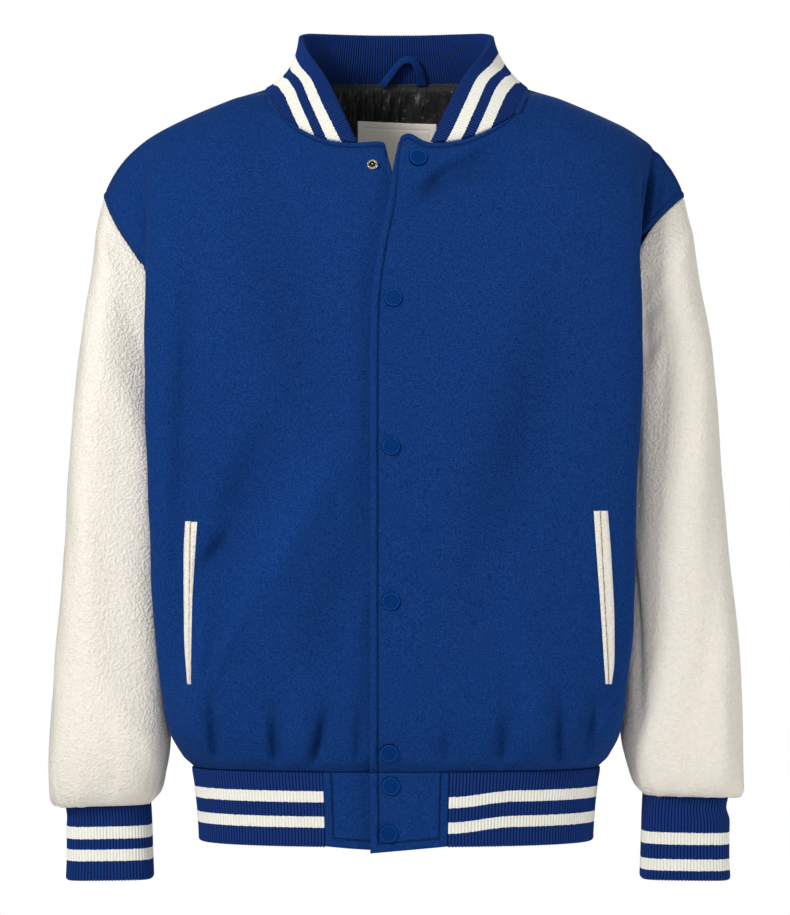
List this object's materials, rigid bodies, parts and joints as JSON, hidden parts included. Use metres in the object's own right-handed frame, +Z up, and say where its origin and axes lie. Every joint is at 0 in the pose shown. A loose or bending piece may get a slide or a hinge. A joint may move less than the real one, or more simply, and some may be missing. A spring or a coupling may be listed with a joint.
{
  "type": "varsity jacket",
  "caption": "Varsity jacket filled out as worn: wool body with a snap front, leather-look sleeves, striped rib collar, cuffs and waistband.",
  "frame": {"origin": "inside the neck, on the level where the wearer's shoulders carry the jacket, half way from the left side to the right", "axes": "+Z up, +X towards the wearer's left, and the front of the jacket faces -Y"},
  "size_m": [0.6828, 0.2689, 0.8231],
  "materials": {
    "wool": "royal blue brushed wool melton, matt",
    "rib": "royal blue 1x1 rib knit with two ivory stripes, matt",
    "leather": "ivory pebbled leather-look, satin",
    "satin": "black satin lining, soft sheen",
    "label": "taupe woven label, matt",
    "snap_enamel": "blue enamel, satin",
    "snap_metal": "antique nickel-plated brass"
  },
  "bodies": {
    "root": {"front_right": "wool", "front_left": "wool", "back": "wool", "waist_tab_right": "wool", "waist_tab_left": "wool", "hanger_loop": "wool", "collar_rib": "rib", "cuff_right": "rib", "cuff_left": "rib", "waistband_rib": "rib", "sleeve_right": "leather", "sleeve_left": "leather", "welt_right_front": "leather", "welt_right_side": "leather", "welt_left_front": "leather", "welt_left_side": "leather", "neck_lining": "satin", "neck_label": "label", "snap_cap_1": "snap_enamel", "snap_cap_2": "snap_enamel", "snap_cap_3": "snap_enamel", "snap_cap_4": "snap_enamel", "snap_cap_5": "snap_enamel", "snap_cap_6": "snap_enamel", "snap_cap_7": "snap_enamel", "snap_stud": "snap_metal"}
  },
  "joints": []
}
